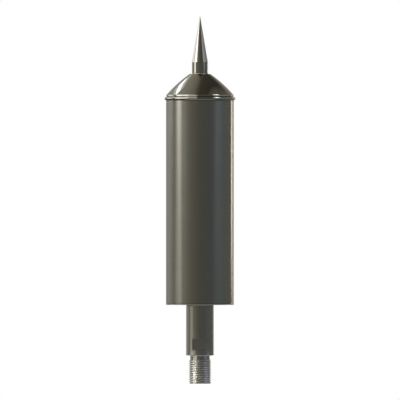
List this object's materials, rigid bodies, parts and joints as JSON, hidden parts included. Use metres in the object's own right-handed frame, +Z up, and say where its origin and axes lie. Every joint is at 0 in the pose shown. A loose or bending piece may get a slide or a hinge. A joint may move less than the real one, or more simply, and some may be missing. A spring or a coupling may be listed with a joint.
{
  "type": "lightning rod air terminal",
  "caption": "Pointed metal air terminal with a convex cone cap on a sealed tube housing, and a spigot with wrench flats and a threaded stud for the top of a mast.",
  "frame": {"origin": "centre of the spigot's annular seating shoulder, on the axis of the whole part; the threaded stud lies below it", "axes": "+Z up along the axis from the stud to the strike tip; the two wrench flats face -Y and +Y"},
  "size_m": [0.0628, 0.0628, 0.326],
  "materials": {
    "polished_steel": "mirror-polished stainless steel",
    "satin_steel": "satin stainless steel",
    "turned_steel": "fine-turned stainless steel",
    "white_insulator": "machined, waxy",
    "seal_rubber": "matte",
    "bronze_strip": "rolled",
    "brass_screw": "turned",
    "laminate": "machined glass-fibre laminate",
    "potting_resin": "cast, semi-gloss"
  },
  "bodies": {
    "root": {"strike_tip": "polished_steel", "central_rod": "polished_steel", "cone_cap": "polished_steel", "body_tube": "satin_steel", "base_plate": "satin_steel", "mounting_spigot": "turned_steel", "top_insulator": "white_insulator", "base_insulator": "white_insulator", "rod_sleeve": "white_insulator", "rod_seal_ring": "seal_rubber", "cap_seal_ring": "seal_rubber", "base_seal_ring": "seal_rubber", "spigot_seal_ring": "seal_rubber", "earth_strap": "bronze_strip", "housing_contact": "bronze_strip", "lock_nut": "turned_steel", "clamp_nut": "turned_steel", "clamp_washer": "turned_steel", "spring_washer": "turned_steel", "terminal_screws": "brass_screw", "lower_support_disc": "laminate", "upper_support_disc": "laminate", "trigger_module": "potting_resin"}
  },
  "joints": []
}
